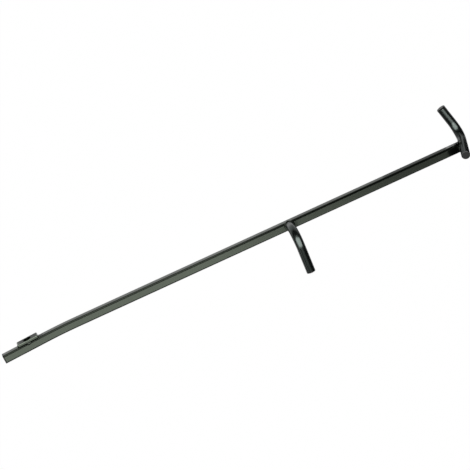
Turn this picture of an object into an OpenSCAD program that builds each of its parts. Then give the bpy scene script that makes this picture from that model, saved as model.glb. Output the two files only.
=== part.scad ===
// Tubular-steel scythe snath: a square tube with a slight bend near its foot, a holed
// seat plate for the blade's tang, a bent round side grip and a bent round top grip.
// The origin is the mouth of the tang hole. +X runs along the foot section towards the
// top grip, +Y comes out of the tang hole, and +Z is the side that the side grip is on.

/* [Shaft] */
// Outside width of the square tube
shaft_w = 27; // [20:0.5:32]
// Wall of the square tube
shaft_wall = 2; // [1.5:0.1:3]
// Outside corner radius of the square tube
shaft_corner = 6; // [2:0.5:8]
// Inside corner radius of the square tube
bore_corner = 4; // [0.5:0.5:6]
// Straight foot section, from the foot end to the bend
foot_straight = 137; // [125:1:200]
// Radius of the bend, along the tube's axis
foot_bend_radius = 1700; // [800:10:3000]
// Angle of the bend
foot_bend = 3.3; // [1:0.1:8]
// Straight main section, from the bend to the top grip's axis
main_length = 1252; // [900:1:1500]

/* [Seat plate] */
// Length of the plate along the shaft
plate_length = 67; // [50:1:80]
// Width of the plate across the shaft
plate_width = 32; // [28:0.5:40]
// Thickness of the plate
plate_thick = 9; // [5:0.5:12]
// Corner radius of the plate's outline
plate_corner = 3; // [1:0.5:8]
// Diameter of the tang hole
tang_hole_d = 25; // [16:0.5:26]
// How far the tang hole sits from the plate's middle towards the side grip's side
tang_hole_offset = 2; // [0:0.5:2]
// Distance from the foot end to the tang hole
tang_hole_from_foot = 84; // [75:1:95]

/* [Grips] */
// Outside diameter of the grip tube
grip_d = 26.9; // [22:0.1:33.7]
// Wall of the grip tube
grip_wall = 2; // [1.5:0.1:3]
// Bend radius of the grip tube, along its axis
grip_bend_radius = 55; // [45:1:80]

/* [Top grip] */
// Near arm, from the shaft's axis to the near plug
top_near = 60; // [45:1:90]
// Straight run from the shaft's axis to the bend
top_run = 29; // [24:1:50]
// Angle of the top grip's bend
top_bend = 77; // [40:1:100]
// Straight far arm after the bend
top_far = 50; // [30:1:90]
// Dip of the near arm below square to the shaft's front
top_dip = 8; // [0:1:20]
// Sweep of the near arm back towards the foot
top_splay = 10; // [0:1:15]
// Sweep of the far arm back towards the foot
top_lean = 15; // [0:1:25]

/* [Side grip] */
// Distance from the top grip's axis to the side grip's axis
side_from_top = 563; // [350:1:800]
// Straight root, from the shaft's front face to the bend
side_root = 28; // [15:1:60]
// Angle of the side grip's bend
side_bend = 85; // [60:1:100]
// Straight hand part after the bend
side_hand = 73; // [60:1:140]
// Lean of the root towards the top grip
side_splay = 4; // [0:1:12]
// Sweep of the hand part back towards the foot
side_lean = 2.5; // [0:0.5:20]

/* [Plugs] */
// Thickness of a plug's flange
plug_flange = 3.5; // [2:0.5:6]
// Depth of a plug's body inside its tube
plug_depth = 14; // [8:1:20]
// Gap between a plug's body and the tube's bore
plug_clearance = 0.15; // [0.05:0.05:0.4]

/* [Welds] */
// Leg of the weld around the top grip joint
top_weld_leg = 4; // [2:0.5:6]
// Leg of the weld around the side grip's root
side_weld_leg = 3.5; // [2:0.5:6]
// Leg of the welds at the plate's ends
plate_weld_leg = 3; // [1.5:0.5:5]
// Length of the middle welds under the plate's long edges
plate_bead_length = 19; // [12:1:30]
// How far the middle welds stand off the shaft's side
plate_bead_height = 3; // [1.5:0.5:5]
// Gap left between parts that are set up for welding
weld_gap = 0.1; // [0.05:0.05:0.3]

/* [Bends] */
// How much thinner a tube's wall is at a bend, on each side
bend_draw = 0.05; // [0.03:0.01:0.15]
// How far a bend reaches into the straight tube at each end
bend_lap = 0.5; // [0.3:0.1:1]

/* [Hidden] */
$fn = 64;

enamel = [0.10, 0.11, 0.10];
gloss_enamel = [0.04, 0.05, 0.05];
weld_enamel = [0.14, 0.15, 0.14];
plug_black = [0.03, 0.03, 0.03];

half_w = shaft_w / 2;
bore_w = shaft_w - 2 * shaft_wall;
grip_r = grip_d / 2;
grip_bore_r = grip_r - grip_wall;
plug_edge = plug_flange * 0.6;
over = 1;                          // how far a cutting solid runs past what it cuts

// The bend's end in the foot section's own plane, and the top grip's joint
bend_end_x = foot_straight + foot_bend_radius * sin(foot_bend);
bend_end_y = -foot_bend_radius * (1 - cos(foot_bend));

// Moves from the foot end's centre to the part's frame
module from_foot() {
    translate([-tang_hole_from_foot, -half_w - plate_thick, -tang_hole_offset]) children();
}

// Moves to the start of the main section, with +X along it
module from_bend() {
    from_foot() translate([bend_end_x, bend_end_y, 0]) rotate([0, 0, -foot_bend]) children();
}

// The joint of shaft and top grip, with +X along the main section
module at_top() {
    from_bend() translate([main_length, 0, 0]) children();
}

// The near plug's seat on the top grip, with +X along its near arm towards the shaft
module along_top_grip() {
    at_top()
        rotate([top_dip, -top_splay, top_lean])
            rotate([0, 90, 90])
                translate([-top_near, 0, 0])
                    children();
}

// The side grip's root on the shaft's front face, with +X along the root out of that face
module along_side_grip() {
    at_top()
        translate([-side_from_top, 0, half_w])
            rotate([0, side_splay, 0])
                rotate([0, -90, 90 - side_lean])
                    children();
}

module rounded_square(w, r) {
    square([w, w - 2 * r], center = true);
    square([w - 2 * r, w], center = true);
    for (x = [-1, 1], y = [-1, 1])
        translate([x * (w / 2 - r), y * (w / 2 - r)])
            circle(r);
}

module rounded_rectangle(length, width, r) {
    square([length, width - 2 * r], center = true);
    square([length - 2 * r, width], center = true);
    for (x = [-1, 1], y = [-1, 1])
        translate([x * (length / 2 - r), y * (width / 2 - r)])
            circle(r);
}

// The square tube's section, with its wall drawn thinner on each side
module shaft_ring(draw) {
    difference() {
        rounded_square(shaft_w - 2 * draw, shaft_corner - draw);
        rounded_square(bore_w + 2 * draw, bore_corner + draw);
    }
}

// The round tube's section, with its wall drawn thinner on each side
module grip_ring(draw) {
    difference() {
        circle(grip_r - draw);
        circle(grip_bore_r + draw);
    }
}

// A bend that starts along +X at the origin and turns towards +Y. Its children are its
// section, and each end laps into the straight tube that it meets.
module bend(radius, angle, facets) {
    lap = bend_lap / radius * 180 / PI;
    translate([0, radius, 0])
        rotate([0, 0, -90 - lap])
            rotate_extrude(angle = angle + 2 * lap, $fn = facets)
                translate([radius, 0])
                    children();
}

// The start of the straight part after a grip's bend, with +Z along it
module at_bar_end(root, angle) {
    translate([root + grip_bend_radius * sin(angle), 0, grip_bend_radius * (1 - cos(angle))])
        rotate([0, 90 - angle, 0])
            children();
}

// A bent round tube: straight along +X, a bend towards +Z, then straight again
module bent_tube(root, angle, hand) {
    rotate([0, 90, 0])
        linear_extrude(root)
            grip_ring(0);
    translate([root, 0, 0])
        rotate([90, 0, 0])
            bend(grip_bend_radius, angle, 96)
                grip_ring(bend_draw);
    at_bar_end(root, angle)
        linear_extrude(hand)
            grip_ring(0);
}

// A round plug: a flange with a rounded edge on +Z, and a body inside the tube on -Z
module round_plug() {
    body_r = grip_bore_r - plug_clearance;
    flat_r = grip_r - plug_edge;
    rotate_extrude() {
        square([flat_r, plug_flange]);
        square([grip_r, plug_flange - plug_edge]);
        intersection() {
            translate([flat_r, plug_flange - plug_edge])
                circle(plug_edge);
            square([grip_r, plug_flange]);
        }
        translate([0, -plug_depth])
            square([body_r, plug_depth]);
    }
}

module shaft_tube() {
    color(enamel) difference() {
        union() {
            from_foot()
                rotate([90, 0, 90])
                    linear_extrude(foot_straight)
                        shaft_ring(0);
            from_foot()
                translate([foot_straight, 0, 0])
                    mirror([0, 1, 0])
                        bend(foot_bend_radius, foot_bend, 720)
                            shaft_ring(bend_draw);
            from_bend()
                rotate([90, 0, 90])
                    linear_extrude(main_length)
                        shaft_ring(0);
        }
        along_top_grip()
            rotate([0, 90, 0])
                cylinder(r = grip_r + weld_gap, h = top_near + top_run);
    }
}

module foot_plug() {
    body_w = bore_w - 2 * plug_clearance;
    color(plug_black) from_foot() rotate([90, 0, -90]) {
        linear_extrude(plug_flange)
            rounded_square(shaft_w, shaft_corner);
        translate([0, 0, -plug_depth])
            linear_extrude(plug_depth)
                rounded_square(body_w, bore_corner);
    }
}

module seat_plate() {
    color(enamel) difference() {
        translate([0, 0, -tang_hole_offset])
            rotate([90, 0, 0])
                linear_extrude(plate_thick)
                    rounded_rectangle(plate_length, plate_width, plate_corner);
        rotate([90, 0, 0])
            translate([0, 0, -over])
                cylinder(d = tang_hole_d, h = plate_thick + 2 * over);
    }
}

// A shallow round bead in the corner under one long edge of the plate, on the +Z side
module plate_side_bead() {
    reach = plate_bead_length / 2;
    ball_r = (pow(reach, 2) + pow(plate_bead_height, 2)) / (2 * plate_bead_height);
    sunk = ball_r - plate_bead_height;
    difference() {
        intersection() {
            translate([0, half_w, half_w - sunk])
                sphere(ball_r, $fn = 128);
            translate([-reach, half_w - reach, half_w - shaft_corner])
                cube([2 * reach, reach - weld_gap, shaft_corner + plate_bead_height]);
        }
        translate([-plate_length, 0, 0])
            rotate([90, 0, 90])
                linear_extrude(2 * plate_length)
                    rounded_square(shaft_w + 2 * weld_gap, shaft_corner);
    }
}

module plate_weld_front() {
    color(weld_enamel) from_foot()
        translate([tang_hole_from_foot, 0, 0])
            plate_side_bead();
}

module plate_weld_back() {
    color(weld_enamel) from_foot()
        translate([tang_hole_from_foot, 0, 0])
            mirror([0, 0, 1])
                plate_side_bead();
}

// A fillet across the shaft's flat top, at one end of the plate
module plate_end_weld(side) {
    run = shaft_w - 2 * shaft_corner;
    from_foot()
        translate([tang_hole_from_foot + side * (plate_length / 2 + weld_gap), half_w + weld_gap, -run / 2])
            linear_extrude(run)
                polygon([[0, 0], [side * plate_weld_leg, 0], [0, plate_weld_leg]]);
}

module plate_weld_foot() {
    color(weld_enamel) plate_end_weld(-1);
}

module plate_weld_head() {
    color(weld_enamel) plate_end_weld(1);
}

module top_grip() {
    color(gloss_enamel) along_top_grip()
        bent_tube(top_near + top_run, top_bend, top_far);
}

// The corner ring where the shaft's coped end meets the top grip
module top_grip_weld() {
    ring_w = shaft_w + 2 * top_weld_leg;
    color(weld_enamel) difference() {
        intersection() {
            at_top()
                rotate([90, 0, -90])
                    linear_extrude(grip_r + 3 * top_weld_leg)
                        rounded_square(ring_w, shaft_corner + top_weld_leg);
            along_top_grip()
                rotate([0, 90, 0])
                    cylinder(r = grip_r + top_weld_leg, h = top_near + top_run);
        }
        at_top()
            rotate([90, 0, -90])
                linear_extrude(2 * ring_w)
                    rounded_square(shaft_w + 2 * weld_gap, shaft_corner);
        along_top_grip()
            rotate([0, 90, 0])
                cylinder(r = grip_r + weld_gap, h = top_near + top_run);
    }
}

module top_near_plug() {
    color(plug_black) along_top_grip() rotate([0, -90, 0]) round_plug();
}

module top_far_plug() {
    color(plug_black) along_top_grip()
        at_bar_end(top_near + top_run, top_bend)
            translate([0, 0, top_far])
                round_plug();
}

// What the side grip's root is coped to: the shaft, and all that lies below its rounded corners
module root_cope() {
    corner_z = half_w - shaft_corner;
    from_bend()
        rotate([90, 0, 90])
            linear_extrude(main_length)
                rounded_square(shaft_w + 2 * weld_gap, shaft_corner);
    at_top()
        translate([-side_from_top - grip_d, -grip_d, corner_z - grip_d])
            cube([2 * grip_d, 2 * grip_d, grip_d]);
}

// The side grip's root is coped to the shaft's front face and rounded corners
module side_grip() {
    color(gloss_enamel) difference() {
        along_side_grip()
            translate([-shaft_corner, 0, 0])
                bent_tube(side_root + shaft_corner, side_bend, side_hand);
        root_cope();
    }
}

// A collar around the side grip's root that hangs over the shaft's rounded corners
module side_grip_weld() {
    inner_r = grip_r + weld_gap;
    outer_r = grip_r + side_weld_leg;
    color(weld_enamel) difference() {
        along_side_grip()
            rotate([0, 90, 0])
                rotate_extrude()
                    polygon([
                        [inner_r, -shaft_corner],
                        [(inner_r + outer_r) / 2, -shaft_corner],
                        [outer_r, 0],
                        [inner_r, side_weld_leg],
                    ]);
        root_cope();
    }
}

module side_grip_plug() {
    color(plug_black) along_side_grip()
        at_bar_end(side_root, side_bend)
            translate([0, 0, side_hand])
                round_plug();
}

shaft_tube();
foot_plug();
seat_plate();
plate_weld_front();
plate_weld_back();
plate_weld_foot();
plate_weld_head();
top_grip();
top_grip_weld();
top_near_plug();
top_far_plug();
side_grip();
side_grip_weld();
side_grip_plug();
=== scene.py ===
"""A tubular-steel scythe snath in black enamel: a square shaft with a slight bend near its
foot, a holed seat plate, a bent side grip and a bent top grip, all welded and painted."""

import bmesh
import bpy
import numpy as np
from mathutils import Matrix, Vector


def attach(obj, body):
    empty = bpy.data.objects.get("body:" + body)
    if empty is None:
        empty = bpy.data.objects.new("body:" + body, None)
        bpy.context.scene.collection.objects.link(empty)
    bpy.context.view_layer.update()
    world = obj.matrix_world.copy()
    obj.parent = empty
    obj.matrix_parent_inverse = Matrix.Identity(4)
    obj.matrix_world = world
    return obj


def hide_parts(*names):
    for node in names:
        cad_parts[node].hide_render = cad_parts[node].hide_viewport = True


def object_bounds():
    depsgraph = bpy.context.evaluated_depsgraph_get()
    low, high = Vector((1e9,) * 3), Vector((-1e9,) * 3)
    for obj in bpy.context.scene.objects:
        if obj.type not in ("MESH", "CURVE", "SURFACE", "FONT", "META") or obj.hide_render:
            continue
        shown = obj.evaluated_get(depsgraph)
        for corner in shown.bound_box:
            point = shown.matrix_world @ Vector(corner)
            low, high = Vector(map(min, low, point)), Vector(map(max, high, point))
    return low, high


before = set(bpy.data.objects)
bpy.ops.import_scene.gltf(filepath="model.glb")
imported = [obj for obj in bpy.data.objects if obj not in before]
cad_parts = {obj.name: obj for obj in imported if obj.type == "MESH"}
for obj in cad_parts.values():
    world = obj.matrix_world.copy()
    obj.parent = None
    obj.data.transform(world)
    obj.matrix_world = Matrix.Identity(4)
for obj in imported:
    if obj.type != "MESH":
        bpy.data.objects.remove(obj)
cad_low, cad_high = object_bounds()

# Sizes in millimetres and degrees, the same as the part's
SHAFT_W, SHAFT_WALL, SHAFT_CORNER = 27.0, 2.0, 6.0
FOOT_STRAIGHT, FOOT_BEND_RADIUS, FOOT_BEND = 137.0, 1700.0, 3.3
MAIN_LENGTH = 1252.0
PLATE_LENGTH, PLATE_WIDTH, PLATE_THICK, PLATE_CORNER = 67.0, 32.0, 9.0, 3.0
TANG_HOLE_D, TANG_HOLE_OFFSET, TANG_HOLE_FROM_FOOT = 25.0, 2.0, 84.0
GRIP_D, GRIP_WALL, GRIP_BEND_RADIUS = 26.9, 2.0, 55.0
TOP_NEAR, TOP_RUN, TOP_BEND, TOP_FAR = 60.0, 29.0, 77.0, 50.0
TOP_DIP, TOP_SPLAY, TOP_LEAN = 8.0, 10.0, 15.0
SIDE_FROM_TOP, SIDE_ROOT, SIDE_BEND, SIDE_HAND = 563.0, 28.0, 85.0, 73.0
SIDE_SPLAY, SIDE_LEAN = 4.0, 2.5
PLUG_FLANGE, PLUG_DEPTH, PLUG_CLEARANCE = 3.5, 14.0, 0.15
MM = 0.001

HALF_W = SHAFT_W / 2
GRIP_R = GRIP_D / 2
BORE_R = GRIP_R - GRIP_WALL
BEND = np.radians(FOOT_BEND)
BEND_RUN = FOOT_BEND_RADIUS * BEND
SHAFT_RUN = FOOT_STRAIGHT + BEND_RUN + MAIN_LENGTH
AROUND = 96          # points round a grip
BEND_OVAL = 0.03     # how much a bend squashes its tube, at its middle


# ---------------------------------------------------------------- places

def moved(x, y, z):
    """A 4x4 move."""
    m = np.eye(4)
    m[:3, 3] = x, y, z
    return m


def turned(x=0.0, y=0.0, z=0.0):
    """A 4x4 turn about X, then about Y, then about Z, in degrees."""
    (cx, cy, cz), (sx, sy, sz) = np.cos(np.radians((x, y, z))), np.sin(np.radians((x, y, z)))
    m = np.eye(4)
    about_x = np.array([[1, 0, 0], [0, cx, -sx], [0, sx, cx]])
    about_y = np.array([[cy, 0, sy], [0, 1, 0], [-sy, 0, cy]])
    about_z = np.array([[cz, -sz, 0], [sz, cz, 0], [0, 0, 1]])
    m[:3, :3] = about_z @ about_y @ about_x
    return m


def put(place, points):
    """Points [..., 3] carried by a 4x4 place."""
    return points @ place[:3, :3].T + place[:3, 3]


FROM_FOOT = moved(-TANG_HOLE_FROM_FOOT, -HALF_W - PLATE_THICK, -TANG_HOLE_OFFSET)
FROM_BEND = (FROM_FOOT
             @ moved(FOOT_STRAIGHT + FOOT_BEND_RADIUS * np.sin(BEND),
                     -FOOT_BEND_RADIUS * (1 - np.cos(BEND)), 0)
             @ turned(z=-FOOT_BEND))
AT_TOP = FROM_BEND @ moved(MAIN_LENGTH, 0, 0)
TOP_TURN = turned(TOP_DIP, -TOP_SPLAY, TOP_LEAN) @ turned(0, 90, 90)
ALONG_TOP = AT_TOP @ TOP_TURN @ moved(-TOP_NEAR, 0, 0)
SIDE_TURN = turned(y=SIDE_SPLAY) @ turned(0, -90, 90 - SIDE_LEAN)
ON_FACE = moved(-SIDE_FROM_TOP, 0, HALF_W)
ALONG_SIDE = AT_TOP @ ON_FACE @ SIDE_TURN


def bar_end(root, angle):
    """The start of a grip's straight part after its bend, with +Z along it."""
    a = np.radians(angle)
    return (moved(root + GRIP_BEND_RADIUS * np.sin(a), 0, GRIP_BEND_RADIUS * (1 - np.cos(a)))
            @ turned(y=90 - angle))


# ---------------------------------------------------------------- meshes

def quads(rows, cols, wrap_rows, wrap_cols):
    """The quads of a grid of points, each joining a point to its next row and column."""
    r = np.arange(rows if wrap_rows else rows - 1)[:, None]
    c = np.arange(cols if wrap_cols else cols - 1)[None, :]
    r2, c2 = (r + 1) % rows, (c + 1) % cols
    return np.stack([r * cols + c, r * cols + c2, r2 * cols + c2, r2 * cols + c], -1).reshape(-1, 4)


def volume(points, faces):
    """The signed volume inside a closed surface: the sum of its faces' corner products."""
    a, b, c, d = (points[faces[:, i]] for i in range(4))
    return (np.cross(a, b) * c + np.cross(a, c) * d).sum()


def make_piece(name, nodes, material, sheets):
    """A smooth closed piece from grids of points in millimetres, each (points, wrap_rows)."""
    points, faces, start = [], [], 0
    for grid, wrap_rows in sheets:
        rows, cols = grid.shape[:2]
        flat = grid.reshape(-1, 3)
        f = quads(rows, cols, wrap_rows, True)
        if volume(flat - flat.mean(0), f) < 0:
            f = f[:, ::-1]
        points.append(flat)
        faces.append(f + start)
        start += len(flat)
    mesh = bpy.data.meshes.new(name)
    mesh.from_pydata((np.concatenate(points) * MM).tolist(), [], np.concatenate(faces).tolist())
    merge_doubles(mesh)
    mesh.polygons.foreach_set("use_smooth", np.ones(len(mesh.polygons), dtype=bool))
    mesh.materials.append(material)
    piece = bpy.data.objects.new(name, mesh)
    bpy.context.scene.collection.objects.link(piece)
    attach(piece, "root")
    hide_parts(*nodes)
    return piece


def merge_doubles(mesh):
    """Closes the poles, where a whole row of a grid lies on one point."""
    bm = bmesh.new()
    bm.from_mesh(mesh)
    bmesh.ops.remove_doubles(bm, verts=bm.verts, dist=2e-6)
    bmesh.ops.dissolve_degenerate(bm, edges=bm.edges, dist=1e-7)
    bm.to_mesh(mesh)
    bm.free()


def rounded_loop(inset=0.0, arc=10, guard=0.35, width=SHAFT_W, radius=SHAFT_CORNER):
    """A square's outline with round corners, [points, 2]. A corner's point is its centre
    plus the radius at its angle, and a guard point on each flat next to it keeps the flat's
    shading flat."""
    r = max(radius - inset, 0.2)
    reach = width / 2 - inset - r
    turn = np.radians(np.concatenate([[0], np.linspace(0, 90, arc + 1), [90]]))
    slide = np.concatenate([[-guard], np.zeros(arc + 1), [guard]])
    corner = np.radians([0, 90, 180, 270])[:, None]
    a = corner + turn[None, :]
    cx = reach * np.sign(np.cos(corner + np.pi / 4))
    cy = reach * np.sign(np.sin(corner + np.pi / 4))
    x = cx + r * np.cos(a) - slide * np.sin(a)
    y = cy + r * np.sin(a) + slide * np.cos(a)
    return np.stack([x, y], -1).reshape(-1, 2)


def even_loop(count, width=SHAFT_W, radius=SHAFT_CORNER):
    """The same outline and its outward normals, at even steps along it, [count, 2] each."""
    loop = rounded_loop(0, 24, 0.0, width, radius)
    closed = np.vstack([loop, loop[:1]])
    run = np.concatenate([[0], np.cumsum(np.hypot(*np.diff(closed, axis=0).T))])
    at = np.arange(count) * run[-1] / count
    p = np.stack([np.interp(at, run, closed[:, i]) for i in range(2)], -1)
    t = np.roll(p, -1, 0) - np.roll(p, 1, 0)
    t /= np.linalg.norm(t, axis=1, keepdims=True)
    return p, np.stack([t[:, 1], -t[:, 0]], -1)


# ---------------------------------------------------------------- shaft

def along_shaft(s, section):
    """Section points [..., 2] carried s millimetres along the shaft's axis: straight, then
    round the bend's circle, then straight on."""
    straight = np.minimum(s, FOOT_STRAIGHT)
    a = np.clip((s - FOOT_STRAIGHT) / FOOT_BEND_RADIUS, 0, BEND)
    rest = np.maximum(s - FOOT_STRAIGHT - BEND_RUN, 0)
    y, z = section[..., 0], section[..., 1]
    px = straight + FOOT_BEND_RADIUS * np.sin(a) + rest * np.cos(a) + y * np.sin(a)
    py = -FOOT_BEND_RADIUS * (1 - np.cos(a)) - rest * np.sin(a) + y * np.cos(a)
    return put(FROM_FOOT, np.stack([px, py, z + 0 * px], -1))


def cope_run(section, radius):
    """How far along the shaft each of its lines meets the top grip's round: the nearer root
    of |q - (q.d) d| = radius, with q on the line and d along the grip's near arm."""
    d = TOP_TURN[:3, 0]
    w = np.stack([0 * section[..., 0], section[..., 0], section[..., 1]], -1)
    wd = w @ d
    a = 1 - d[0] ** 2
    b = -2 * wd * d[0]
    c = (w ** 2).sum(-1) - wd ** 2 - radius ** 2
    return SHAFT_RUN + (-b - np.sqrt(np.maximum(b * b - 4 * a * c, 0))) / (2 * a)


def shaft_skin():
    """The tube's outside from foot to grip and its inside back again, closed into one ring."""
    rim = ((0.0, 0.5), (0.15, 0.15), (0.5, 0.0), (0.9, 0.0))
    bend = FOOT_STRAIGHT + np.linspace(0, BEND_RUN, 13)
    after = np.array([SHAFT_RUN - 600.0, SHAFT_RUN - 60.0])
    outer = np.concatenate([[s for s, _ in rim], bend, after])
    inset = np.concatenate([[i for _, i in rim], np.zeros(len(bend) + len(after))])
    rows = [along_shaft(s, rounded_loop(i)) for s, i in zip(outer, inset)]
    for i in (0.0, SHAFT_WALL):
        loop = rounded_loop(i)
        rows.append(along_shaft(cope_run(loop, GRIP_R - 0.4), loop))
    loop = rounded_loop(SHAFT_WALL)
    rows += [along_shaft(s, loop) for s in np.concatenate([after[::-1], bend[::-1], [0.0]])]
    return np.stack(rows)


def level_loop(loop, z):
    """A section's points with one height."""
    return np.column_stack([loop, np.full(len(loop), z)])


def foot_plug_skin():
    """Square loops: out across the flange's slightly crowned face, round its edge, and down
    the body inside the tube."""
    edge, crown, dimple, dimple_share = 1.3, 0.35, 0.3, 0.12
    loop = rounded_loop(edge)
    rows = [level_loop(loop * k, PLUG_FLANGE - crown * k * k
                       - dimple * np.exp(-(k / dimple_share) ** 2))
            for k in (0.0, 0.04, 0.08, 0.12, 0.18, 0.26, 0.4, 0.6, 0.8, 0.93, 1.0)]
    for b in np.radians(np.linspace(12, 90, 8)):
        z = PLUG_FLANGE - crown - edge * (1 - np.cos(b))
        rows.append(level_loop(rounded_loop(edge * (1 - np.sin(b))), z))
    body = SHAFT_WALL + PLUG_CLEARANCE
    for i, z in ((0.0, 0.6), (0.1, 0.25), (0.5, 0.05), (body, 0.0), (body, 1.0 - PLUG_DEPTH),
                 (body + 1, -PLUG_DEPTH)):
        rows.append(level_loop(rounded_loop(i), z))
    rows.append(rows[-1] * [0, 0, 1])
    return put(FROM_FOOT @ turned(90, 0, -90), np.stack(rows))


# ---------------------------------------------------------------- grips

def along_grip(s, theta, radius, root, angle):
    """A round tube's points: its axis runs straight along +X, round the bend's circle
    towards +Z, then straight; the section is a little oval in the middle of the bend."""
    full = np.radians(angle)
    straight = np.minimum(s, root)
    a = np.clip((s - root) / GRIP_BEND_RADIUS, 0, full)
    rest = np.maximum(s - root - GRIP_BEND_RADIUS * full, 0)
    x = straight + GRIP_BEND_RADIUS * np.sin(a) + rest * np.cos(a)
    z = GRIP_BEND_RADIUS * (1 - np.cos(a)) + rest * np.sin(a)
    oval = BEND_OVAL * np.sin(np.pi * a / full) ** 2
    flat, wide = radius * (1 - oval) * np.cos(theta), radius * (1 + oval) * np.sin(theta)
    return np.stack([x - flat * np.sin(a), wide + 0 * x, z + flat * np.cos(a)], -1)


def shaft_top(y):
    """The height of the shaft's front face and round corners over its axis."""
    over = np.clip(np.abs(y) - (HALF_W - SHAFT_CORNER), 0, SHAFT_CORNER)
    return HALF_W - SHAFT_CORNER + np.sqrt(SHAFT_CORNER ** 2 - over ** 2)


def root_start(theta, radius):
    """Where each line of the side grip's root meets the shaft, by stepping down its own
    direction until its height is the shaft's."""
    place = ON_FACE @ SIDE_TURN
    s = np.zeros_like(theta)
    for _ in range(12):
        p = put(place, np.stack([s, radius * np.sin(theta), radius * np.cos(theta)], -1))
        s = s - (p[..., 2] - shaft_top(p[..., 1])) / place[2, 0]
    return s


def grip_skin(root, angle, hand, start):
    """The tube's outside from its start to its far end and its inside back, closed into one
    ring. start gives where each line begins, for a radius."""
    theta = np.linspace(0, 2 * np.pi, AROUND, endpoint=False)
    bend = GRIP_BEND_RADIUS * np.radians(angle)
    total = root + bend + hand
    rim = ((0.0, 0.0), (0.15, 0.12), (0.5, 0.4))

    def row(s, radius):
        return along_grip(s + 0 * theta, theta, radius, root, angle)

    first = start(theta, GRIP_R)
    rows = [row(first, GRIP_R - 0.4), row(first + 0.12, GRIP_R - 0.12), row(first + 0.45, GRIP_R)]
    rows += [row(first + guard, GRIP_R) for guard in (0.9, 1.6)]
    rows += [row(first + (root - first) * k, GRIP_R) for k in (0.25, 0.6, 1.0)]
    rows += [row(root + k * bend, GRIP_R) for k in np.linspace(0, 1, 49)[1:]]
    rows += [row(total - hand * k, GRIP_R) for k in (0.66, 0.33)]
    rows += [row(total - guard, GRIP_R) for guard in (1.6, 0.9)]
    rows += [row(total - 0.5 + d, GRIP_R - i) for d, i in rim]
    rows += [row(total, BORE_R)]
    rows += [row(root + k * bend, BORE_R) for k in np.linspace(1, 0, 25)]
    rows += [row(start(theta, BORE_R), BORE_R)]
    return np.stack(rows)


def round_plug_skin(place):
    """A profile of radius and height turned round +Z: a slightly crowned face with a small
    dimple, a round edge, a fine groove against the tube, and the body inside it."""
    edge, crown, dimple, dimple_r = 2.1, 0.3, 0.35, 1.1
    flat = GRIP_R - edge
    r = np.concatenate([[0, 0.4, 0.8, 1.2, 1.6, 2.0, 2.6, 3.5], np.linspace(5, flat, 7)])
    z = PLUG_FLANGE - crown * (r / flat) ** 2 - dimple * np.exp(-(r / dimple_r) ** 2)
    b = np.radians(np.linspace(9, 90, 10))
    body = BORE_R - PLUG_CLEARANCE
    r = np.concatenate([r, flat + edge * np.sin(b),
                        [GRIP_R, GRIP_R - 0.12, GRIP_R - 0.5, body, body, body - 1, 0]])
    z = np.concatenate([z, PLUG_FLANGE - crown - edge * (1 - np.cos(b)),
                        [0.6, 0.22, 0.04, 0.0, 1 - PLUG_DEPTH, -PLUG_DEPTH, -PLUG_DEPTH]])
    theta = np.linspace(0, 2 * np.pi, AROUND, endpoint=False)
    skin = np.stack([r[:, None] * np.cos(theta), r[:, None] * np.sin(theta),
                     z[:, None] + 0 * theta], -1)
    return put(place, skin)


# ---------------------------------------------------------------- seat plate

def inside(p):
    """How far points [..., 2] are inside the plate's outline, a rectangle with round
    corners: the signed distance to it, positive inside."""
    q = np.abs(p) - (np.array([PLATE_LENGTH, PLATE_WIDTH]) / 2 - PLATE_CORNER)
    out = np.linalg.norm(np.maximum(q, 0), axis=-1)
    return PLATE_CORNER - out - np.minimum(q.max(-1), 0)


def plate_skin():
    """A flat bar with well-rounded edges and a round hole. Each point of the hole's edge is
    joined to the outline along its own ray from the hole's centre, and the height falls off
    near the outline as a quarter circle of the distance inside."""
    edge, chamfer = 3.2, 0.5
    phi = np.linspace(0, 2 * np.pi, 400, endpoint=False)
    ray = np.stack([np.cos(phi), np.sin(phi)], -1)
    hole = np.array([0.0, TANG_HOLE_OFFSET])
    reach = np.full(len(phi), TANG_HOLE_D / 2)
    for _ in range(60):
        reach = reach + inside(hole + reach[:, None] * ray)

    def at(radius, drop, upper):
        p = hole + radius[:, None] * ray
        d = np.clip(inside(p), 0, edge)
        fall = edge - np.sqrt(np.maximum(edge ** 2 - (edge - d) ** 2, 0))
        y = -fall - drop if upper else -PLATE_THICK + fall + drop
        return np.stack([p[:, 0], y, p[:, 1] - TANG_HOLE_OFFSET], -1)

    r0 = np.full(len(phi), TANG_HOLE_D / 2)
    rim = [(c, chamfer - np.sqrt(chamfer ** 2 - (chamfer - c) ** 2)) for c in (0.0, 0.05, 0.18, 0.5)]
    wide = reach - r0 - chamfer
    bands = np.concatenate([np.linspace(0, 1, 5)[1:] * 0.5,
                            1 - 0.5 * (1 - np.sin(np.radians(np.linspace(0, 90, 21)[1:])))])
    face = [r0 + chamfer + wide * k for k in bands]
    rows = [at(r0 + c, d, True) for c, d in rim] + [at(r, 0, True) for r in face]
    rows += [at(r, 0, False) for r in face[::-1]] + [at(r0 + c, d, False) for c, d in rim[::-1]]
    return np.stack(rows)


# ---------------------------------------------------------------- welds

def scales(run, pitch):
    """Overlapping round-backed ripples of a weld, from 0 in the seams to 1 on the backs."""
    f = run / pitch - np.floor(run / pitch)
    return np.sqrt(np.maximum(1 - (2 * f - 1) ** 2, 0))


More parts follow.
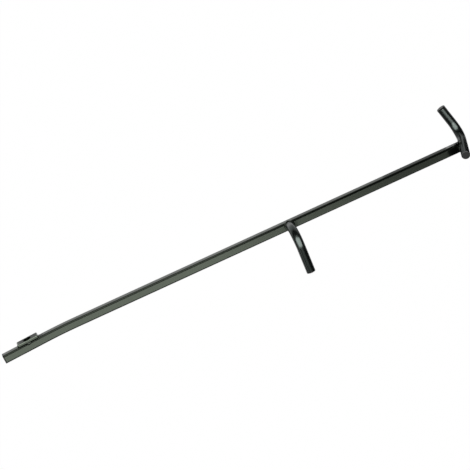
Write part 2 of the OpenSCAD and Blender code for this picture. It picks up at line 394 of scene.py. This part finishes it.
def bead_skin(path, outward, radius, closed, pitch=2.3, deep=0.10):
    """A weld bead: circles round a path, whose radius swells with the ripples. A ripple
    trails back towards the bead's edges, so its phase is the run along the path plus a part
    of the circle's own depth. An open bead's circles shrink to nothing at its two ends."""
    step = np.roll(path, -1, 0) - np.roll(path, 1, 0)
    if not closed:
        step[0], step[-1] = path[1] - path[0], path[-1] - path[-2]
    tangent = step / np.linalg.norm(step, axis=1, keepdims=True)
    out = outward - (outward * tangent).sum(1, keepdims=True) * tangent
    out /= np.linalg.norm(out, axis=1, keepdims=True)
    side = np.cross(tangent, out)
    run = np.concatenate([[0], np.cumsum(np.linalg.norm(np.diff(path, axis=0), axis=1))])
    if closed:
        run *= pitch * np.round(run[-1] / pitch) / (run[-1] + np.linalg.norm(path[-1] - path[0]))
    theta = np.linspace(0, 2 * np.pi, 28, endpoint=False)
    phase = run[:, None] + 0.45 * radius[:, None] * (1 - np.cos(theta))
    r = radius[:, None] * (1 - deep + deep * scales(phase, pitch))
    return (path[:, None] + r[..., None] * (np.cos(theta)[:, None] * out[:, None]
                                            + np.sin(theta)[:, None] * side[:, None]))


def side_weld_skin():
    """The bead where the side grip's root stands on the shaft's face and round corners."""
    theta = np.linspace(0, 2 * np.pi, 300, endpoint=False)
    sunk, clear, size = 0.5, 0.1, 3.0
    s = root_start(theta, GRIP_R) - sunk
    ring = GRIP_R + clear
    p = np.stack([s, ring * np.sin(theta), ring * np.cos(theta)], -1)
    out = np.stack([np.full(len(theta), 0.6), np.sin(theta), np.cos(theta)], -1)
    r = size * (1 + 0.06 * np.sin(3 * theta + 0.7) + 0.04 * np.sin(7 * theta + 2.1))
    return put(ALONG_SIDE, bead_skin(p, out, r, True))


def top_weld_skin():
    """The bead where the shaft's coped end meets the top grip. It leaves the two sides, where
    the shaft's face runs out along the grip's round, before the face ends."""
    steps, furthest, sunk, size = 320, -5.0, 0.7, 2.9
    loop, normal = even_loop(steps)
    x = np.minimum(cope_run(loop, GRIP_R) - SHAFT_RUN, furthest)
    p = np.stack([x, *(loop - sunk * normal).T], -1)
    out = np.stack([np.full(len(x), -0.5), *normal.T], -1)
    turn = np.linspace(0, 2 * np.pi, len(x), endpoint=False)
    r = size * (1 + 0.06 * np.sin(4 * turn + 1.1) + 0.04 * np.sin(9 * turn + 0.4))
    return put(AT_TOP, bead_skin(p, out, r, True))


def end_weld_skin(side):
    """The bead across the shaft's flat top at one end of the plate."""
    steps, sunk, lift, size = 64, 0.6, 0.2, 3.1
    k = np.linspace(-1, 1, steps)
    run = HALF_W - SHAFT_CORNER + 1.0
    p = np.stack([np.full(steps, TANG_HOLE_FROM_FOOT + side * (PLATE_LENGTH / 2 - sunk)),
                  np.full(steps, HALF_W + lift), run * k], -1)
    out = np.tile([side, 1.0, 0.0], (steps, 1))
    r = size * np.sqrt(np.maximum(1 - np.abs(k) ** 5, 0)) * (1 + 0.05 * np.sin(5 * k))
    return put(FROM_FOOT, bead_skin(p, out, r, False))


def side_blob_skin(side):
    """The middle weld under a long edge of the plate: an ellipsoid with a short upper and a
    long lower half, crossed by the ripples of its passes."""
    half_long, upper, lower, proud = 9.3, 0.6, 7.2, 3.8
    u = np.linspace(0, np.pi, 72)[:, None]
    v = np.linspace(0, 2 * np.pi, 96, endpoint=False)[None, :]
    x, y, z = np.cos(u) + 0 * v, np.sin(u) * np.sin(v), np.sin(u) * np.cos(v)
    swell = 1 + 0.03 * scales(9.5 * x + 2.2 * (1 - z) - 3 * y ** 2, 2.4) * np.sin(u) ** 2
    p = np.stack([TANG_HOLE_FROM_FOOT + half_long * x * swell,
                  HALF_W - 0.6 + np.where(y > 0, upper, lower) * y * swell,
                  side * (HALF_W - 1.6 + proud * z * swell)], -1)
    return put(FROM_FOOT, p)


# ---------------------------------------------------------------- shader maths

class Value:
    """A socket's value in a material. Arithmetic on it adds Math nodes."""

    def __init__(self, shader, socket):
        self.shader, self.socket = shader, socket

    def math(self, operation, *others):
        return self.shader.node("ShaderNodeMath", {"operation": operation}, (self, *others))

    def __add__(self, other): return self.math("ADD", other)
    def __mul__(self, other): return self.math("MULTIPLY", other)
    def __sub__(self, other): return self.math("SUBTRACT", other)
    def __truediv__(self, other): return self.math("DIVIDE", other)
    def __pow__(self, other): return self.math("POWER", other)
    def __rsub__(self, other): return self.shader.node(
        "ShaderNodeMath", {"operation": "SUBTRACT"}, (other, self))
    __radd__, __rmul__ = __add__, __mul__

    def between(self, low, high):
        """0 below low, 1 above high, and a smooth step between them."""
        return self.shader.node("ShaderNodeMapRange", {"interpolation_type": "SMOOTHSTEP"},
                                {"Value": self, "From Min": low, "From Max": high})


class Shader:
    """A material and its nodes."""

    def __init__(self, name):
        self.material = bpy.data.materials.new(name)
        self.material.use_nodes = True
        self.tree = self.material.node_tree
        self.main = self.tree.nodes["Principled BSDF"]
        self.place = self.node("ShaderNodeTexCoord", output="Object")

    def node(self, kind, settings=None, inputs=(), output=0):
        made = self.tree.nodes.new(kind)
        for key, value in (settings or {}).items():
            setattr(made, key, value)
        pairs = inputs.items() if isinstance(inputs, dict) else enumerate(inputs)
        for key, value in pairs:
            self.feed(made.inputs[key], value)
        return Value(self, made.outputs[output])

    def feed(self, socket, value):
        if isinstance(value, Value):
            self.tree.links.new(value.socket, socket)
        else:
            socket.default_value = value

    def noise(self, scale, detail=3.0, rough=0.5, place=None):
        return self.node("ShaderNodeTexNoise", {}, {
            "Vector": place or self.place, "Scale": scale, "Detail": detail, "Roughness": rough})

    def stretched(self, x, y, z):
        """Object coordinates with each axis scaled by its own number."""
        return self.node("ShaderNodeVectorMath", {"operation": "MULTIPLY"}, (self.place, (x, y, z)))

    def mix(self, factor, a, b):
        made = self.tree.nodes.new("ShaderNodeMix")
        made.data_type = "RGBA"
        for key, value in ((0, factor), (6, a), (7, b)):
            self.feed(made.inputs[key], value)
        return Value(self, made.outputs[2])

    def finish(self, colour, roughness, height, depth, **constants):
        """Feeds the shader: colour, roughness, and a bump of the height times the depth."""
        bump = self.node("ShaderNodeBump", {}, {"Strength": 1.0, "Distance": depth, "Height": height})
        self.feed(self.main.inputs["Base Color"], colour)
        self.feed(self.main.inputs["Roughness"], roughness)
        self.feed(self.main.inputs["Normal"], bump)
        for key, value in constants.items():
            self.main.inputs[key.replace("_", " ")].default_value = value
        return self.material


def opaque(r, g, b):
    """A colour with full alpha."""
    return (r, g, b, 1.0)


def enamel(name, deep, worn, gloss, peel, tint):
    """Brushed and baked enamel: an orange-peel skin, faint clouds in its colour, dust specks
    sunk in it, and hairline scratches along the object's length."""
    sh = Shader(name)
    clouds = sh.noise(9.0, 4.0, 0.6)
    fine = sh.noise(160.0, 2.0)
    specks = sh.noise(900.0, 1.0).between(0.72, 0.78)
    hair = sh.noise(1.0, 2.0, 0.5, sh.stretched(14.0, 900.0, 900.0)).between(0.66, 0.72)
    patches = sh.noise(26.0, 3.0, 0.6).between(0.45, 0.65)
    scratch = hair * patches
    colour = sh.mix(clouds.between(0.3, 0.7), opaque(*deep), opaque(*worn))
    colour = sh.mix(0.5 * scratch, colour, opaque(0.10, 0.105, 0.10))
    rough = gloss + 0.10 * (clouds - 0.5) + 0.06 * (fine - 0.5) + 0.14 * scratch + 0.1 * specks
    skin = sh.noise(peel, 2.0, 0.4)
    height = skin + 0.35 * specks - 0.3 * scratch + 0.15 * fine
    return sh.finish(colour, rough, height, 0.00005, IOR=1.5, Specular_Tint=opaque(*tint))


def plug_plastic():
    """Moulded plastic with a fine pebble grain and a faint bloom."""
    sh = Shader("plug_plastic")
    grain = sh.node("ShaderNodeTexVoronoi", {"feature": "SMOOTH_F1"},
                    {"Vector": sh.place, "Scale": 1400.0, "Smoothness": 0.6})
    bloom = sh.noise(70.0, 3.0)
    colour = sh.mix(bloom.between(0.35, 0.7), opaque(0.006, 0.0065, 0.0065),
                    opaque(0.013, 0.014, 0.014))
    return sh.finish(colour, 0.34 + 0.16 * bloom, grain + 0.4 * bloom, 0.00006, IOR=1.46)


shaft_paint = enamel("shaft_enamel", (0.0025, 0.0034, 0.0026), (0.0045, 0.0058, 0.0046), 0.23, 520.0,
                     (0.86, 1.0, 0.80))
grip_paint = enamel("grip_enamel", (0.0014, 0.0019, 0.0018), (0.0026, 0.0034, 0.0033), 0.24, 460.0,
                    (0.85, 1.0, 0.93))
weld_paint = enamel("weld_enamel", (0.0040, 0.0050, 0.0040), (0.0080, 0.0095, 0.0080), 0.28, 620.0,
                    (0.86, 1.0, 0.80))
plug_black = plug_plastic()


# ---------------------------------------------------------------- pieces

def square_start(theta, radius):
    """Every line of a tube that is cut square begins at 0."""
    return 0 * theta


TOP_ROOT = TOP_NEAR + TOP_RUN
make_piece("shaft", ["shaft_tube"], shaft_paint, [(shaft_skin(), True)])
make_piece("foot_cap", ["foot_plug"], plug_black, [(foot_plug_skin(), False)])
make_piece("tang_plate", ["seat_plate"], shaft_paint, [(plate_skin(), True)])
for tag, side in (("front", 1), ("back", -1)):
    make_piece(f"plate_{tag}_bead", [f"plate_weld_{tag}"], weld_paint,
               [(side_blob_skin(side), False)])
for tag, side in (("foot", -1), ("head", 1)):
    make_piece(f"plate_{tag}_bead", [f"plate_weld_{tag}"], weld_paint,
               [(end_weld_skin(side), False)])
make_piece("top_handle", ["top_grip"], grip_paint,
           [(put(ALONG_TOP, grip_skin(TOP_ROOT, TOP_BEND, TOP_FAR, square_start)), True)])
make_piece("top_handle_bead", ["top_grip_weld"], weld_paint, [(top_weld_skin(), True)])
make_piece("top_near_cap", ["top_near_plug"], plug_black,
           [(round_plug_skin(ALONG_TOP @ turned(y=-90)), False)])
make_piece("top_far_cap", ["top_far_plug"], plug_black,
           [(round_plug_skin(ALONG_TOP @ bar_end(TOP_ROOT, TOP_BEND) @ moved(0, 0, TOP_FAR)), False)])
make_piece("side_handle", ["side_grip"], grip_paint,
           [(put(ALONG_SIDE, grip_skin(SIDE_ROOT, SIDE_BEND, SIDE_HAND, root_start)), True)])
make_piece("side_handle_bead", ["side_grip_weld"], weld_paint, [(side_weld_skin(), True)])
make_piece("side_cap", ["side_grip_plug"], plug_black,
           [(round_plug_skin(ALONG_SIDE @ bar_end(SIDE_ROOT, SIDE_BEND) @ moved(0, 0, SIDE_HAND)), False)])


# ---------------------------------------------------------------- studio

ALONG = AT_TOP[:3, 0]                    # along the main section
ACROSS = AT_TOP[:3, 1]                   # across it, on the plate's side
UP = np.array([0.0, 0.0, 1.0])
TILT, ROLL = np.radians(19.5), np.radians(24.6)
VIEW_WIDTH, LENS, SENSOR = 1.3818, 400.0, 36.0

back = np.cos(TILT) * UP + np.sin(TILT) * ACROSS
rise = np.cos(TILT) * ACROSS - np.sin(TILT) * UP
right = np.cos(ROLL) * ALONG - np.sin(ROLL) * rise
upward = np.sin(ROLL) * ALONG + np.cos(ROLL) * rise
joint = AT_TOP[:3, 3] * MM
aim = joint - 0.671 * right - 0.265 * upward


def pose(thing, x_axis, y_axis, z_axis, at):
    """Stands a thing at a place with its own three axes."""
    m = np.eye(4)
    m[:3, :3] = np.stack([x_axis, y_axis, z_axis], 1)
    m[:3, 3] = at
    thing.matrix_world = Matrix(m.tolist())


camera = bpy.data.objects.new("camera", bpy.data.cameras.new("camera"))
bpy.context.scene.collection.objects.link(camera)
camera.data.lens, camera.data.sensor_width = LENS, SENSOR
camera.data.clip_start, camera.data.clip_end = 0.1, 200.0
pose(camera, right, upward, back, aim + back * VIEW_WIDTH * LENS / SENSOR)
bpy.context.scene.camera = camera
bpy.context.scene.view_settings.view_transform = "Standard"


def level_sheet(name, span, half_depth, at_z, emission, base):
    """A level sheet of the stage along the main section. span is where it starts and ends,
    in metres from the top joint towards the head end."""
    corners = [joint + u * ALONG + v * ACROSS for u, v in (
        (span[0], -half_depth), (span[1], -half_depth), (span[1], half_depth), (span[0], half_depth))]
    mesh = bpy.data.meshes.new(name)
    mesh.from_pydata([(c[0], c[1], at_z) for c in corners], [], [(0, 1, 2, 3)])
    return staged(name, mesh, emission, base)


def hidden_from(thing, *rays):
    """Takes a piece of the stage out of sight of these kinds of ray."""
    for ray in rays:
        setattr(thing, f"visible_{ray}", False)


def staged(name, mesh, emission, base):
    """A plain dull piece of the stage that also glows by itself."""
    sh = Shader(name)
    sh.main.inputs["Base Color"].default_value = opaque(base, base, base)
    sh.main.inputs["Roughness"].default_value = 0.9
    sh.main.inputs["Specular IOR Level"].default_value = 0.0
    sh.main.inputs["Emission Color"].default_value = opaque(1, 1, 1)
    sh.main.inputs["Emission Strength"].default_value = emission
    mesh.materials.append(sh.material)
    thing = bpy.data.objects.new(name, mesh)
    bpy.context.scene.collection.objects.link(thing)
    return thing


def dome_mesh(radius):
    """A sphere round the whole studio: radius times the cosine and sine of two angles."""
    u = np.linspace(0, np.pi, 33)[:, None]
    v = np.linspace(0, 2 * np.pi, 64, endpoint=False)[None, :]
    p = radius * np.stack([np.sin(u) * np.cos(v), np.sin(u) * np.sin(v), np.cos(u) + 0 * v], -1)
    mesh = bpy.data.meshes.new("backdrop")
    mesh.from_pydata(p.reshape(-1, 3).tolist(), [], quads(33, 64, False, True)[:, ::-1].tolist())
    return mesh


TABLE_GLOW, TABLE_BASE = 0.26, 0.80      # what the enamel mirrors of the table, at full share
floor_z = cad_low[2] - 0.0005
floor = level_sheet("floor", (-4.0, 2.6), 3.0, floor_z, 0.975, 0.80)
hidden_from(floor, "glossy")
for part, span, share in (("foot", (-2.0, -1.44), 1.0), ("plate", (-1.44, -1.365), 0.5),
                          ("long", (-1.365, -0.55), 1.0), ("middle", (-0.55, -0.25), 0.80),
                          ("head", (-0.25, -0.035), 0.45), ("grip", (-0.035, 0.06), 0.90)):
    table = level_sheet(f"table_sheen_{part}", span, 0.6, floor_z - 0.0005,
                        TABLE_GLOW * share, TABLE_BASE * share)
    hidden_from(table, "camera", "diffuse", "shadow", "transmission", "volume_scatter")
backdrop = staged("backdrop", dome_mesh(40.0), 1.0, 0.0)
hidden_from(backdrop, "diffuse", "glossy", "transmission", "volume_scatter", "shadow")

world = bpy.data.worlds.new("studio")
world.use_nodes = True
world.node_tree.nodes["Background"].inputs[0].default_value = opaque(1, 1, 1)
world.node_tree.nodes["Background"].inputs[1].default_value = 0.03
bpy.context.scene.world = world


def softbox(name, tilt, along, distance, length, depth, radiance, only=None):
    """A soft panel over the main section's axis. tilt is its angle from straight up towards
    the plate's side, and along is how far it is from the top joint, towards the foot."""
    a = np.radians(tilt)
    out = np.cos(a) * UP + np.sin(a) * ACROSS
    light = bpy.data.lights.new(name, "AREA")
    light.shape, light.size, light.size_y = "RECTANGLE", length, depth
    light.energy = radiance * np.pi * length * depth
    thing = bpy.data.objects.new(name, light)
    bpy.context.scene.collection.objects.link(thing)
    pose(thing, ALONG, np.cross(out, ALONG), out, joint - along * ALONG + distance * out)
    if only:
        chosen = bpy.data.collections.new(name)
        for piece in only:
            chosen.objects.link(bpy.data.objects[piece])
        thing.light_linking.receiver_collection = chosen
    return thing


# Each panel: name, tilt, along, distance, length, depth, radiance, the pieces it lights
straight_parts = ["shaft", "foot_cap", "tang_plate", "plate_front_bead", "plate_back_bead",
                  "plate_foot_bead", "plate_head_bead", "top_handle_bead", "side_handle_bead"]
grip_parts = ["top_handle", "side_handle", "top_near_cap", "side_cap"]
softbox("foot_panel", -24.0, 1.30, 1.5, 1.30, 0.9, 3.6, straight_parts)
softbox("middle_panel", -33.0, 0.47, 1.5, 0.36, 0.9, 2.5, straight_parts)
softbox("head_panel", -33.0, -0.02, 1.5, 0.62, 0.9, 1.05, straight_parts)
softbox("foot_fill", 50.0, 1.25, 1.6, 1.1, 1.5, 1.7, straight_parts)
softbox("grip_fill", 5.0, 2.40, 0.9, 1.8, 1.8, 1.3, grip_parts + ["top_far_cap"])
softbox("top_soft", 20.0, 0.0, 1.5, 1.6, 2.6, 1.1, ["top_handle"])
softbox("top_glow", 3.0, -0.15, 1.5, 1.3, 0.5, 2.2, ["top_handle"])
softbox("side_soft", 18.0, 0.70, 1.5, 1.6, 2.6, 0.7, ["side_handle"])
softbox("cap_panel", -41.0, 0.35, 1.5, 0.8, 0.8, 1.7, ["top_near_cap"])
side_panel = softbox("side_panel", 31.0, 0.40, 1.5, 3.2, 1.45, 7.8, ["side_handle", "side_cap"])
top_panel = softbox("top_panel", 28.0, 0.10, 1.5, 3.2, 1.60, 6.2, ["top_handle", "top_near_cap"])
edge_panel = softbox("edge_panel", 68.0, 1.40, 1.2, 0.9, 2.2, 9.0, ["tang_plate"])
for panel in (side_panel, top_panel, edge_panel):
    hidden_from(panel, "diffuse")
